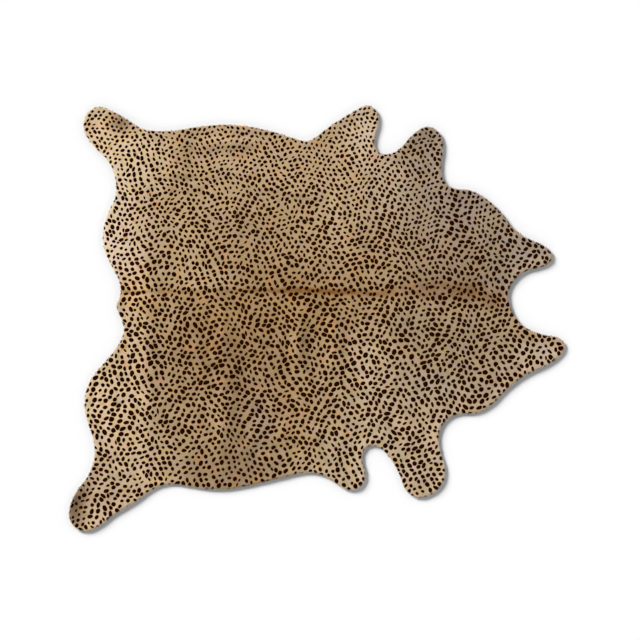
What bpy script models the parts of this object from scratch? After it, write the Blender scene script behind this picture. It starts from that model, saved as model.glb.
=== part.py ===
"""Cowhide rug: one whole hair-on hide, lying on the floor with its hair side up.

The tail end points to -X, the neck to +X, and the floor is at Z = 0. The hide is one piece of skin cut
to the animal's outline. It is built as the maker's cutter would see it: a flat shape on a squared pattern
sheet, laid down, with a few low folds that the skin keeps from having been rolled up.
"""

import math

import bmesh
import bpy
from mathutils import Vector

# Driving sizes, in metres.
LENGTH = 2.13  # tail end to the tip of the longer cheek
THICKNESS = 0.004  # the leather and the hair lying flat on it
CELL = 0.030  # side of the cells in which the folds are raised
SNAP = 0.0015  # an outline point this near a cell's side takes that side's place
CURVE_STEPS = 4  # straight steps between two points of the outline

# The pattern sheet, ruled in squares. Numbers across grow towards the neck, numbers down towards the
# right side of the animal.
FIRST_SQUARE, LAST_SQUARE = 69.8, 564.6
SQUARE = LENGTH / (LAST_SQUARE - FIRST_SQUARE)
SHEET_CENTRE = (317.19, 318.23)

HAIR_COLOUR = (0.42, 0.30, 0.165, 1.0)
HAIR_ROUGHNESS = 0.75

# The cut edge, clockwise from the left hind shank: place, squares across, squares down.
OUTLINE = (
    ("left hind shank, outer side", 84.0, 127.0),
    ("left hind shank, outer side", 86.6, 116.3),
    ("left hind shank, hoof end", 92.6, 109.4),
    ("left hind shank, hoof end", 101.0, 107.5),
    ("left hind shank, hoof end", 112.0, 112.0),
    ("left hind shank, inner side", 128.0, 120.8),
    ("left hind shank, inner side", 141.0, 129.2),
    ("hollow of the left flank", 156.0, 131.9),
    ("hollow of the left flank", 174.0, 131.4),
    ("left belly", 200.0, 127.4),
    ("left belly", 228.0, 125.6),
    ("left belly", 252.0, 127.8),
    ("left belly", 280.0, 134.5),
    ("left armpit", 303.0, 141.7),
    ("left armpit", 308.5, 142.3),
    ("left armpit", 313.0, 140.0),
    ("left foreleg, rear lobe", 333.0, 125.0),
    ("left foreleg, rear lobe", 350.0, 114.8),
    ("left foreleg, rear lobe", 361.0, 108.3),
    ("left foreleg, rear lobe", 369.0, 106.0),
    ("left foreleg, rear lobe", 375.3, 110.2),
    ("left foreleg, rear lobe", 377.9, 120.5),
    ("left foreleg, slit", 375.0, 132.5),
    ("left foreleg, slit", 373.0, 145.0),
    ("left foreleg, slit", 378.0, 153.0),
    ("left foreleg, slit", 388.0, 155.3),
    ("left foreleg, slit", 398.0, 151.2),
    ("left foreleg, front lobe", 412.0, 136.7),
    ("left foreleg, front lobe", 421.0, 129.2),
    ("left foreleg, front lobe", 429.0, 127.5),
    ("left foreleg, front lobe", 437.6, 132.0),
    ("left foreleg, front lobe", 442.2, 144.0),
    ("left foreleg, front lobe", 440.8, 160.0),
    ("left foreleg, front lobe", 440.6, 173.0),
    ("left side of the neck", 446.0, 185.0),
    ("left side of the neck", 456.0, 189.7),
    ("left side of the neck", 469.0, 190.8),
    ("left side of the neck", 484.0, 198.0),
    ("left side of the neck", 500.0, 212.5),
    ("left side of the neck", 513.0, 229.0),
    ("left cheek", 527.0, 238.8),
    ("left cheek", 543.0, 246.0),
    ("left cheek, tip", 551.3, 254.0),
    ("left cheek, tip", 550.8, 260.6),
    ("left cheek", 541.0, 266.2),
    ("left cheek", 526.0, 270.0),
    ("nape", 514.0, 279.3),
    ("nape", 507.8, 291.5),
    ("nape", 508.8, 305.0),
    ("nape", 514.8, 318.2),
    ("right cheek", 528.0, 329.8),
    ("right cheek", 546.0, 336.2),
    ("right cheek, tip", 559.5, 339.0),
    ("right cheek, tip", 564.6, 346.0),
    ("right cheek, tip", 560.0, 354.7),
    ("right cheek", 546.0, 364.8),
    ("right cheek", 526.0, 374.0),
    ("right side of the neck", 505.0, 390.0),
    ("right side of the neck", 489.0, 405.8),
    ("right side of the neck", 476.0, 412.4),
    ("right side of the neck", 458.0, 413.4),
    ("right side of the neck", 445.0, 420.2),
    ("right foreleg, front lobe", 437.8, 434.0),
    ("right foreleg, front lobe", 439.6, 453.0),
    ("right foreleg, front lobe", 444.4, 470.0),
    ("right foreleg, front lobe", 441.2, 484.5),
    ("right foreleg, front lobe", 431.0, 493.6),
    ("right foreleg, front lobe", 416.5, 496.6),
    ("right foreleg, front lobe", 407.3, 490.8),
    ("right foreleg, slit", 399.5, 473.0),
    ("right foreleg, slit", 388.0, 454.0),
    ("right foreleg, slit", 375.0, 444.3),
    ("right foreleg, slit", 364.6, 447.6),
    ("right foreleg, slit", 361.0, 459.0),
    ("right foreleg, rear lobe", 364.7, 474.5),
    ("right foreleg, rear lobe", 361.0, 485.5),
    ("right foreleg, rear lobe", 350.0, 489.2),
    ("right foreleg, rear lobe", 339.0, 484.3),
    ("right armpit", 325.0, 475.0),
    ("right armpit", 310.0, 471.7),
    ("right belly", 285.0, 476.0),
    ("right belly", 250.0, 484.3),
    ("right belly", 218.0, 488.7),
    ("right belly", 192.0, 485.8),
    ("hollow of the right flank", 169.0, 483.4),
    ("hollow of the right flank", 155.0, 487.2),
    ("right hind shank, inner side", 137.0, 499.8),
    ("right hind shank, inner side", 113.0, 514.3),
    ("right hind shank, hoof end", 98.0, 525.8),
    ("right hind shank, hoof end", 83.0, 530.5),
    ("right hind shank, hoof end", 72.6, 524.0),
    ("right hind shank, outer side", 69.9, 511.5),
    ("right hind shank, outer side", 77.0, 492.0),
    ("right hind shank, outer side", 88.5, 476.3),
    ("right hock", 94.7, 460.0),
    ("right hock", 94.8, 442.0),
    ("right thigh", 88.3, 421.5),
    ("right thigh", 85.2, 402.0),
    ("right thigh", 90.6, 381.5),
    ("right thigh", 105.0, 363.0),
    ("right of the tail", 119.0, 345.5),
    ("right of the tail", 124.8, 331.0),
    ("right of the tail", 122.3, 318.8),
    ("tail end", 117.3, 306.5),
    ("left of the tail", 121.2, 295.5),
    ("left of the tail", 120.2, 282.0),
    ("left thigh", 112.5, 265.5),
    ("left thigh", 105.0, 249.0),
    ("left thigh", 104.0, 231.0),
    ("left thigh", 109.5, 212.0),
    ("left hock", 115.9, 197.5),
    ("left hock", 116.3, 179.0),
    ("left hock", 109.0, 160.6),
    ("left hind shank, outer side", 95.0, 146.6),
    ("left hind shank, outer side", 86.5, 134.5),
)

# Low folds: place, squares across and down at the start and at the end, half width and rise in metres.
FOLDS = (
    ("along the left flank", 176, 143, 262, 141, 0.055, 0.0030),
    ("along the left ribs", 250, 181, 338, 193, 0.055, 0.0030),
    ("over the left shoulder", 326, 188, 368, 274, 0.065, 0.0045),
    ("across the rump", 147, 142, 147, 476, 0.100, 0.0035),
    ("on the right loin", 180, 340, 222, 382, 0.060, 0.0030),
    ("behind the right ribs", 227, 300, 227, 490, 0.065, 0.0045),
    ("between the right ribs", 298, 302, 299, 392, 0.050, 0.0040),
    ("before the right ribs", 332, 306, 335, 396, 0.055, 0.0035),
)


def clear_scene():
    for obj in list(bpy.data.objects):
        bpy.data.objects.remove(obj, do_unlink=True)


def on_floor(across, down):
    """The place on the floor, in metres, of a point of the pattern sheet."""
    return Vector(((across - SHEET_CENTRE[0]) * SQUARE, (SHEET_CENTRE[1] - down) * SQUARE, 0.0))


def hair_material():
    material = bpy.data.materials.new("hair_on_leather")
    material.use_nodes = True
    shader = material.node_tree.nodes["Principled BSDF"]
    shader.inputs["Base Color"].default_value = HAIR_COLOUR
    shader.inputs["Roughness"].default_value = HAIR_ROUGHNESS
    shader.inputs["Metallic"].default_value = 0.0
    return material


def outline_mesh():
    """The flat shape inside the cut edge: one smooth closed curve through the pattern's points, filled."""
    curve = bpy.data.curves.new("cut_edge", "CURVE")
    curve.dimensions = "2D"
    curve.fill_mode = "BOTH"
    curve.resolution_u = CURVE_STEPS
    spline = curve.splines.new("BEZIER")
    spline.bezier_points.add(len(OUTLINE) - 1)
    spline.use_cyclic_u = True
    for point, (_, across, down) in zip(spline.bezier_points, OUTLINE):
        point.co = on_floor(across, down)
        point.handle_left_type = "AUTO"
        point.handle_right_type = "AUTO"
    guide = bpy.data.objects.new("cut_edge", curve)
    bpy.context.scene.collection.objects.link(guide)
    graph = bpy.context.evaluated_depsgraph_get()
    mesh = bpy.data.meshes.new_from_object(guide.evaluated_get(graph))
    bpy.data.objects.remove(guide, do_unlink=True)
    return mesh


def one_face(mesh):
    """The filled curve's many triangles, made one face that looks up."""
    bm = bmesh.new()
    bm.from_mesh(mesh)
    bmesh.ops.remove_doubles(bm, verts=bm.verts, dist=0.0001)
    bmesh.ops.dissolve_faces(bm, faces=bm.faces)
    for face in bm.faces:
        face.normal_update()
        if face.normal.z < 0:
            face.normal_flip()
    return bm


def cut_into_cells(bm):
    """Cuts the face along evenly spaced lines both ways, so that its inside has points to raise."""
    for axis in (0, 1):
        low = min(vert.co[axis] for vert in bm.verts)
        high = max(vert.co[axis] for vert in bm.verts)
        count = math.ceil((high - low) / CELL)
        normal = Vector((0.0, 0.0, 0.0))
        normal[axis] = 1.0
        for i in range(1, count):
            place = normal * (low + (high - low) * i / count)
            everything = bm.verts[:] + bm.edges[:] + bm.faces[:]
            bmesh.ops.bisect_plane(bm, geom=everything, dist=SNAP, plane_co=place, plane_no=normal)


def bump(distance):
    """A smooth rise: 1 at distance 0, and 0 from distance 1 on."""
    return math.cos(math.pi / 2 * min(distance, 1.0)) ** 2


def rise_at(place):
    """How far the folds lift the hide at this place. Each is highest halfway and dies out at both ends."""
    height = 0.0
    for _, across_0, down_0, across_1, down_1, half_width, rise in FOLDS:
        start, end = on_floor(across_0, down_0), on_floor(across_1, down_1)
        run = end - start
        along = (place - start).dot(run) / run.length_squared
        aside = (place - start - run * along).length / half_width
        height = max(height, rise * bump(aside) * bump(abs(2 * along - 1)))
    return height


def build_hide(collection):
    bm = one_face(outline_mesh())
    cut_into_cells(bm)
    for vert in bm.verts:
        flat_place = Vector((vert.co.x, vert.co.y, 0.0))
        vert.co.z = rise_at(flat_place)
    mesh = bpy.data.meshes.new("hide")
    bm.to_mesh(mesh)
    bm.free()
    mesh.materials.append(hair_material())
    hide = bpy.data.objects.new("hide", mesh)
    collection.objects.link(hide)
    # The modelled surface is the flesh side, on the floor, and the thickness goes up from it.
    skin = hide.modifiers.new("thickness", "SOLIDIFY")
    skin.thickness = THICKNESS
    skin.offset = 1.0
    skin.use_even_offset = True
    return hide


clear_scene()
rug = bpy.data.collections.new("cowhide_rug")
bpy.context.scene.collection.children.link(rug)
build_hide(rug)
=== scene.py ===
# %% [markdown]
# # A cowhide rug with a printed coat
#
# The object is one whole hair-on cowhide. It was tanned and trimmed to the animal's own outline, and its
# short coat was printed with small dark spots. It lies on the floor with the hair side up.
#
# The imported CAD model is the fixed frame: one sheet of true size, with its low folds. This script keeps
# that shape and gives it what the sheet can't show: a flesh side of suede, a coat with a soft rim, the
# locks of hair that lie on it, and the print.
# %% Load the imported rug
import math

import bpy
import numpy as np
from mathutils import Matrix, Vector, noise
from mathutils.bvhtree import BVHTree
from mathutils.geometry import delaunay_2d_cdt
from mathutils.kdtree import KDTree


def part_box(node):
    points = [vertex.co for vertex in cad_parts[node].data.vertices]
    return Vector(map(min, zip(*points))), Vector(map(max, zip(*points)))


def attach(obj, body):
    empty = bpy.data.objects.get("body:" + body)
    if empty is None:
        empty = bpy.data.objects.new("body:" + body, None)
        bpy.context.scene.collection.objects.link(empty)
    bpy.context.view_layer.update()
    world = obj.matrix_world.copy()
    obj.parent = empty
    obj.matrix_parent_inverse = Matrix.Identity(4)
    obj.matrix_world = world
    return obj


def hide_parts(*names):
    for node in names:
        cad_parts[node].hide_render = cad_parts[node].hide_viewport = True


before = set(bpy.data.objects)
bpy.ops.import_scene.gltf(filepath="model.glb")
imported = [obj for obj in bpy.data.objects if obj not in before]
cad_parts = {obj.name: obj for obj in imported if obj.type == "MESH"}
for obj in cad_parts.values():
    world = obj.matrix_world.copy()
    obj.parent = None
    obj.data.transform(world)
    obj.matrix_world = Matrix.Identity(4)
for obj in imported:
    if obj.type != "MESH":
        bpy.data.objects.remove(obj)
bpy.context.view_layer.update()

low_corner, high_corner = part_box("hide")
print("packed hide, in metres:", [round(side, 4) for side in high_corner - low_corner])

# %% [markdown]
# ## The photograph's squares
# The pattern was read off the photograph in squares of one picture point. The hide is 494.8 squares long,
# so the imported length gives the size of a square, and any place in the picture becomes a place on the
# floor.
# %% Places in the picture, and places on the floor
PICTURE_SIDE = 640
HIDE_SQUARES = 494.8
HIDE_CENTRE = (317.19, 318.23)
SQUARE = (high_corner.x - low_corner.x) / HIDE_SQUARES


def on_floor(across, down):
    """The place on the floor, in metres, of a place in the picture."""
    return np.array(((across - HIDE_CENTRE[0]) * SQUARE, (HIDE_CENTRE[1] - down) * SQUARE))


print("one square of the picture is", round(SQUARE * 1000, 3), "mm")

# %% [markdown]
# ## Camera
# The picture looks straight down. A long lens from six metres up shows the hide without the bulge that a
# wide lens gives to its middle. The distance follows from the lens and from how much floor the picture
# covers.
# %% The camera straight above
LENS = 80.0
FILM = 36.0
TOP_OF_HAIR = 0.006


def into_scene(name, data):
    """A new object in the scene, with this camera, lamp or mesh as its data."""
    made = bpy.data.objects.new(name, data)
    bpy.context.scene.collection.objects.link(made)
    return made


def build_camera():
    data = bpy.data.cameras.new("camera")
    data.lens = LENS
    data.sensor_width = FILM
    camera = into_scene("camera", data)
    x, y = on_floor(PICTURE_SIDE / 2, PICTURE_SIDE / 2)
    distance = PICTURE_SIDE * SQUARE * LENS / FILM
    camera.location = (x, y, TOP_OF_HAIR + distance)
    bpy.context.scene.camera = camera
    return camera


camera = build_camera()
print("camera at", [round(value, 3) for value in camera.location])

# %% [markdown]
# ## A finish, and sums on its numbers
# A material in Blender is a web of nodes. Written node by node, it hides what is worked out. Here a small
# class wraps one output, so that `1 - mask * 0.5` adds its own Math nodes. Every other node comes from one
# method, which takes the node's type, its settings, and what goes into its sockets.
# %% The class that wraps a number
class Number:
    """One output of a node. A sum written with it adds a Math node to its finish."""

    def __init__(self, finish, node, output=0):
        self.finish = finish
        self.node = node
        self.socket = node.outputs[output]

    def output(self, name):
        """Another output of the same node."""
        return Number(self.finish, self.node, name)

    def math(self, operation, *values):
        return self.finish.node("ShaderNodeMath", {"operation": operation}, dict(enumerate(values)))

    def __gt__(self, other):
        return self.math("GREATER_THAN", self, other)

    def __abs__(self):
        return self.math("ABSOLUTE", self)

    def sine(self):
        return self.math("SINE", self)

    def cosine(self):
        return self.math("COSINE", self)

    def whole(self):
        """The whole number just below."""
        return self.math("FLOOR", self)

    def fraction(self):
        """What is left above that whole number."""
        return self.math("FRACT", self)

    def larger(self, other):
        """The larger of the two."""
        return self.math("MAXIMUM", self, other)

    def smaller(self, other):
        """The smaller of the two."""
        return self.math("MINIMUM", self, other)


SIGNS = {"add": "ADD", "sub": "SUBTRACT", "mul": "MULTIPLY", "truediv": "DIVIDE", "pow": "POWER"}


def sign_method(operation, reflected):
    """What a sign such as + does. The reflected form is for a plain number on its left, as in 1 - mask."""

    def work_out(number, other):
        values = (other, number) if reflected else (number, other)
        return number.math(operation, *values)

    return work_out


for sign, operation in SIGNS.items():
    setattr(Number, f"__{sign}__", sign_method(operation, False))
    setattr(Number, f"__r{sign}__", sign_method(operation, True))
print("a Number takes", len(SIGNS), "signs, with a plain number on either side")


# %% The class that makes a finish
class Finish:
    """The nodes of a material, or of the sky, with the methods that add to them."""

    def __init__(self, owner, shader="Principled BSDF"):
        owner.use_nodes = True
        self.owner = owner
        self.tree = owner.node_tree
        self.shader = self.tree.nodes[shader]

    def put(self, node, key, value):
        """Gives a socket its value, or the link that brings it."""
        if isinstance(value, Number):
            self.tree.links.new(value.socket, node.inputs[key])
        else:
            node.inputs[key].default_value = value

    def node(self, kind, settings=None, sockets=None, output=0):
        """Adds a node: its settings first, then its sockets. The result wraps one of its outputs."""
        made = self.tree.nodes.new(kind)
        for name, value in (settings or {}).items():
            setattr(made, name, value)
        for key, value in (sockets or {}).items():
            self.put(made, key, value)
        return Number(self, made, output)

    def surface(self, **sockets):
        """Sets the main shader's sockets, named with _ in the place of a space."""
        for name, value in sockets.items():
            self.put(self.shader, name.replace("_", " "), value)

    def mix(self, factor, first, second):
        """A colour between two colours. Sockets 0, 6 and 7 are the factor and the two colours."""
        return self.node("ShaderNodeMix", {"data_type": "RGBA"}, {0: factor, 6: first, 7: second}, 2)

    def vector(self, operation, sockets):
        """A sum on colours or places, which a Math node would turn into one grey number."""
        return self.node("ShaderNodeVectorMath", {"operation": operation}, sockets)

    def tint(self, colour, brightness):
        """A colour made lighter or darker by a number."""
        return self.vector("SCALE", {0: colour, 3: brightness})

    def times(self, vector, factors):
        """A colour or a place with each of its three parts multiplied by its own factor."""
        return self.vector("MULTIPLY", {0: vector, 1: factors})

    def ramp(self, value, start, end, from_value=0.0, to_value=1.0):
        """Goes smoothly from one value to another while the number goes from start to end."""
        sockets = {0: value, 1: start, 2: end, 3: from_value, 4: to_value}
        return self.node("ShaderNodeMapRange", {"interpolation_type": "SMOOTHSTEP"}, sockets)

    def steps(self, value, places, heights):
        """Goes smoothly from one height to the next while the number passes the places."""
        total = heights[0]
        for start, end, low, high in zip(places, places[1:], heights, heights[1:]):
            total = self.ramp(value, start, end, 0.0, high - low) + total
        return total

    def grain(self, vector, scale=1.0, detail=2.0, roughness=0.5):
        """Soft noise, about 0.5 on average. A pair of numbers named for it below is its scale and detail."""
        sockets = {"Vector": vector, "Scale": scale, "Detail": detail, "Roughness": roughness}
        return self.node("ShaderNodeTexNoise", {}, sockets)

    def varied(self, soft_noise, swing):
        """A number about 1, which the noise moves up and down within this swing."""
        return soft_noise * swing + (1 - swing / 2)

    def bump(self, height, strength, distance):
        """The normal of a surface that is raised by this height."""
        sockets = {"Strength": strength, "Distance": distance, "Height": height}
        return self.node("ShaderNodeBump", {}, sockets)

    def constant(self, value):
        """A number that sums can start from."""
        return self.node("ShaderNodeMath", {"operation": "ADD"}, {0: value, 1: 0.0})

    def place(self):
        """The place on the rug, in metres."""
        return self.node("ShaderNodeNewGeometry").output("Position")

    def parts(self, vector):
        """The x and y of a vector, as two numbers."""
        split = self.node("ShaderNodeSeparateXYZ", {}, {0: vector})
        return split, split.output("Y")


def new_finish(name):
    return Finish(bpy.data.materials.new(name))


DARK_LEVELS = 10
DARK_SLOPE = 12.92
CURVE_SHIFT = 0.055
CURVE_POWER = 2.4


def light_of(level):
    """The light that a picture's level, from 0 to 255, stands for on a screen."""
    share = level / 255
    if level <= DARK_LEVELS:
        return share / DARK_SLOPE
    return ((share + CURVE_SHIFT) / (1 + CURVE_SHIFT)) ** CURVE_POWER


def colour(red, green, blue):
    """A picture's red, green and blue as the colour that a shader works with."""
    return (light_of(red), light_of(green), light_of(blue), 1.0)


print("mid grey, 128 of 255, is", round(colour(128, 128, 128)[0], 3), "of white light")

# %% [markdown]
# ## Floor and light
# The rug lies on a plain white floor. A thin sheet drops almost no shadow in a high light, and the picture
# shows a soft grey band round the rug, widest at its right and lower edges. So the light comes in low: a
# wide soft lamp from the left and a little from the top, and a sky that is brightest just above the
# horizon. Their strengths are worked out so that the open floor is just white.
# %% The floor
FLOOR_SIDE = 200.0
FLOOR_DROP = 0.0004
FLOOR_WHITE = 0.92


def build_floor():
    half = FLOOR_SIDE / 2
    corners = [(x * half, y * half, -FLOOR_DROP) for x, y in ((-1, -1), (1, -1), (1, 1), (-1, 1))]
    mesh = bpy.data.meshes.new("floor")
    mesh.from_pydata(corners, [], [(0, 1, 2, 3)])
    floor = into_scene("floor", mesh)
    finish = new_finish("floor_white")
    finish.surface(Base_Color=(FLOOR_WHITE, FLOOR_WHITE, FLOOR_WHITE, 1.0), Roughness=1.0)
    finish.surface(Specular_IOR_Level=0.0)
    mesh.materials.append(finish.owner)


build_floor()
print("the floor lies", FLOOR_DROP * 1000, "mm under the rug")

# %% The low lamp
JUST_WHITE = 1.005
FLOOR_LIGHT = math.pi / FLOOR_WHITE * JUST_WHITE
LAMP_SHARE = 0.62
LAMP_FROM = 139.0
LAMP_HEIGHT = 11.5
LAMP_SOFTNESS = 11.0


def build_lamp():
    height = math.radians(LAMP_HEIGHT)
    data = bpy.data.lights.new("low_soft_lamp", "SUN")
    data.energy = FLOOR_LIGHT * LAMP_SHARE / math.sin(height)
    data.angle = math.radians(LAMP_SOFTNESS)
    lamp = into_scene("low_soft_lamp", data)
    lamp.rotation_euler = (math.pi / 2 - height, 0.0, math.radians(LAMP_FROM + 90))
    return lamp


lamp = build_lamp()
print("the lamp's strength is", round(lamp.data.energy, 2))

# %% The sky, brightest just above the horizon
HORIZON_SHARE = 0.33
BAND = (0.02, 0.08, 0.20, 0.34)
SKY_SAMPLES = 2001


def eased(share):
    """A share from 0 to 1 that starts and ends gently."""
    return share**2 * (3 - 2 * share)


def band_at(height):
    """How bright the band is at this height, which is the sine of the angle above the horizon."""
    up = np.clip((height - BAND[0]) / (BAND[1] - BAND[0]), 0, 1)
    down = np.clip((BAND[3] - height) / (BAND[3] - BAND[2]), 0, 1)
    return eased(up) * eased(down)


def build_sky():
    heights = np.linspace(0, 1, SKY_SAMPLES)
    band_light = 2 * math.pi * np.mean(band_at(heights) * heights)
    world = bpy.data.worlds.new("studio")
    bpy.context.scene.world = world
    sky = Finish(world, "Background")
    height = sky.node("ShaderNodeSeparateXYZ", {}, {0: sky.node("ShaderNodeTexCoord")}).output("Z")
    band = sky.ramp(height, BAND[0], BAND[1]) * sky.ramp(height, BAND[2], BAND[3], 1.0, 0.0)
    dome = FLOOR_LIGHT * (1 - LAMP_SHARE - HORIZON_SHARE) / math.pi
    brightest = FLOOR_LIGHT * HORIZON_SHARE / band_light
    sky.surface(Color=(1.0, 1.0, 1.0, 1.0), Strength=band * brightest + dome)
    return dome


dome = build_sky()
bpy.context.scene.view_settings.view_transform = "Standard"
print("the sky overhead gives", round(dome, 3), "of white")

# %% [markdown]
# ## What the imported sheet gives
# Besides its size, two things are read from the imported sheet: its cut edge, and how far its folds lift it.
# Both are kept as the maker's shape, and made finer. The edge is the closed line where the underside meets
# the upright wall of the sheet.
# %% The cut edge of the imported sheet
SAME_PLACE_DIGITS = 6
WALL_LIMIT = 0.5


def side_of(face):
    """Which side of the sheet a face is on, by how far its normal points up."""
    if abs(face.normal.z) < WALL_LIMIT:
        return "wall"
    return "top" if face.normal.z > 0 else "underside"


def cut_edge(mesh):
    """The points of the lower edge, in order round the hide."""
    rounded = [tuple(round(value, SAME_PLACE_DIGITS) for value in vert.co) for vert in mesh.vertices]
    places = {}
    for place in rounded:
        places.setdefault(place, len(places))
    number = [places[place] for place in rounded]
    sides = {}
    for face in mesh.polygons:
        corners = [number[i] for i in face.vertices]
        for start, end in zip(corners, corners[1:] + corners[:1]):
            sides.setdefault(frozenset((start, end)), set()).add(side_of(face))
    beside = {}
    for edge, found in sides.items():
        if found == {"underside", "wall"}:
            start, end = edge
            beside.setdefault(start, []).append(end)
            beside.setdefault(end, []).append(start)
    first = min(beside)
    loop = [first, beside[first][0]]
    while loop[-1] != first:
        step = [other for other in beside[loop[-1]] if other != loop[-2]]
        loop.append(step[0])
    points = list(places)
    return np.array([points[i][:2] for i in loop[:-1]])


packed_edge = cut_edge(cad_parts["hide"].data)
print("the packed edge has", len(packed_edge), "points")

# %% [markdown]
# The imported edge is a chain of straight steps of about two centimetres. Spaced evenly and smoothed a
# little, it becomes the soft curve that a knife cuts. The cut also wavers by a few tenths of a millimetre,
# as a hand does.
# %% A finer edge
EDGE_STEP = 0.006
EDGE_PASSES = 6
HAND_WAVER = 0.0005
WAVER_LENGTH = 0.035


def evenly_spaced(points, step):
    """A closed line through the same points, with its new points the same way apart."""
    closed = np.vstack((points, points[:1]))
    run = np.concatenate(([0.0], np.cumsum(np.linalg.norm(np.diff(closed, axis=0), axis=1))))
    count = round(run[-1] / step)
    marks = np.arange(count) * run[-1] / count
    return np.column_stack([np.interp(marks, run, closed[:, axis]) for axis in (0, 1)])


def softened(points, passes):
    for _ in range(passes):
        points = (np.roll(points, 1, axis=0) + 2 * points + np.roll(points, -1, axis=0)) / 4
    return points


def anticlockwise(points):
    """The same closed line, run through anticlockwise."""
    ahead = np.roll(points, -1, axis=0)
    turned = (points[:, 0] * ahead[:, 1] - points[:, 1] * ahead[:, 0]).sum()
    return points if turned > 0 else points[::-1]


def outward(points):
    """The unit vector out of an anticlockwise line, at each of its points."""
    along = np.roll(points, -1, axis=0) - np.roll(points, 1, axis=0)
    side = np.column_stack((along[:, 1], -along[:, 0]))
    return side / np.linalg.norm(side, axis=1)[:, None]


def noise_at(points, length, seed=0.0):
    """Soft noise from -1 to 1 at places on the floor, with bumps of about this length."""
    return np.array([noise.noise(Vector((x / length, y / length, seed))) for x, y in points])


edge = anticlockwise(softened(evenly_spaced(packed_edge, EDGE_STEP), EDGE_PASSES))
edge_out = outward(edge)
edge = edge + edge_out * (HAND_WAVER * noise_at(edge, WAVER_LENGTH))[:, None]
print("the fine edge has", len(edge), "points")

# %% [markdown]
# ## Charts
# A chart holds one number for each point of an even grid over the floor, and reads the number anywhere
# between them. One chart gives how far the folds lift the hide, another how far inside the edge a place is.
# With them, nearly two hundred thousand locks of hair are set in place by a few sums on arrays.
# %% What a chart is
CHART_MARGIN = 0.03
# places are kept this many steps inside the chart's far sides, so that each has a point beyond it to read
LAST_CELL = 1.001


class Chart:
    """A number for every point of an even grid over the floor."""

    def __init__(self, step):
        self.step = step
        self.low = np.array(low_corner.xy) - CHART_MARGIN
        self.count = np.ceil((np.array(high_corner.xy) + CHART_MARGIN - self.low) / step).astype(int) + 1
        across, up = np.meshgrid(np.arange(self.count[0]), np.arange(self.count[1]), indexing="ij")
        self.points = self.low + np.column_stack((across.ravel(), up.ravel())) * step
        self.values = np.zeros(tuple(self.count))

    def fill(self, values):
        self.values = np.asarray(values, float).reshape(tuple(self.count))
        return self

    def at(self, points):
        """The numbers at these places, read between the grid's points."""
        cell = np.clip((points - self.low) / self.step, 0, self.count - LAST_CELL)
        i, j = cell.astype(int).T
        u, v = (cell - cell.astype(int)).T
        near = self.values[i, j] * (1 - v) + self.values[i, j + 1] * v
        far = self.values[i + 1, j] * (1 - v) + self.values[i + 1, j + 1] * v
        return near * (1 - u) + far * u


def blurred(values, passes):
    """Each number averaged with those round it, this many times."""
    for _ in range(passes):
        for axis in (0, 1):
            values = (np.roll(values, 1, axis) + 2 * values + np.roll(values, -1, axis)) / 4
    return values


def rows_inside(edge_line, heights):
    """Where each level line runs inside the edge: for each height, the sorted places where it crosses."""
    start = edge_line
    end = np.roll(edge_line, -1, axis=0)
    found = []
    for height in heights:
        crossed = (start[:, 1] > height) != (end[:, 1] > height)
        share = (height - start[crossed, 1]) / (end[crossed, 1] - start[crossed, 1])
        found.append(np.sort(start[crossed, 0] + share * (end[crossed, 0] - start[crossed, 0])))
    return found


print("a chart with a point every 10 mm has", Chart(0.010).values.size, "points")

# %% How far the folds lift the hide
LIFT_STEP = 0.008
LIFT_PASSES = 5
LEAST_SHARE = 1e-3
SHEET_THICKNESS = 0.004
ABOVE_ALL = 1.0


def lift_chart():
    """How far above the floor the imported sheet's flesh side is."""
    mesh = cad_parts["hide"].data
    solid = BVHTree.FromPolygons([v.co for v in mesh.vertices], [p.vertices for p in mesh.polygons])
    chart = Chart(LIFT_STEP)
    hits = [solid.ray_cast(Vector((x, y, ABOVE_ALL)), Vector((0, 0, -1)))[0] for x, y in chart.points]
    known = np.array([hit is not None for hit in hits], float).reshape(tuple(chart.count))
    rise = np.array([hit.z - SHEET_THICKNESS if hit else 0.0 for hit in hits]).reshape(tuple(chart.count))
    share = np.maximum(blurred(known, LIFT_PASSES), LEAST_SHARE)
    return chart.fill(np.maximum(blurred(rise * known, LIFT_PASSES) / share, 0))


lift = lift_chart()
print("the folds lift the hide by up to", round(lift.values.max() * 1000, 2), "mm")

# %% How far inside the edge each place is
INSIDE_STEP = 0.005


def inside_chart():
    """The distance to the cut edge: above zero inside the hide, below zero outside it."""
    tree = KDTree(len(edge))
    for i, (x, y) in enumerate(edge):
        tree.insert((x, y, 0.0), i)
    tree.balance()
    chart = Chart(INSIDE_STEP)
    distance = np.array([tree.find((x, y, 0.0))[2] for x, y in chart.points])
    heights = chart.low[1] + np.arange(chart.count[1]) * chart.step
    sign = np.empty(tuple(chart.count))
    across = chart.low[0] + np.arange(chart.count[0]) * chart.step
    for j, crossings in enumerate(rows_inside(edge, heights)):
        sign[:, j] = np.where(np.searchsorted(crossings, across) % 2 == 1, 1.0, -1.0)
    return chart.fill(distance.reshape(tuple(chart.count)) * sign)


inside = inside_chart()
print("the widest place is", round(inside.values.max(), 3), "m inside the edge")

# %% [markdown]
# ## Small unevenness
# A tanned hide never lies quite flat between its folds: it keeps soft hills of under a millimetre where the
# skin dried unevenly, and its thin edges lift a little. A cloth simulation would choose folds of its own,
# so these are added up as numbers on a chart. The hills are noise, and the part of the noise below nothing
# is left out, so that the flesh side still rests on the floor. Narrow creases from rolling follow a short
# table.
# %% Hills and creases
HILLS = (
    # length of a hill, and its height, in metres
    (0.180, 0.0007),
    (0.065, 0.0003),
)
HILL_SEED = 0.5

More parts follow.
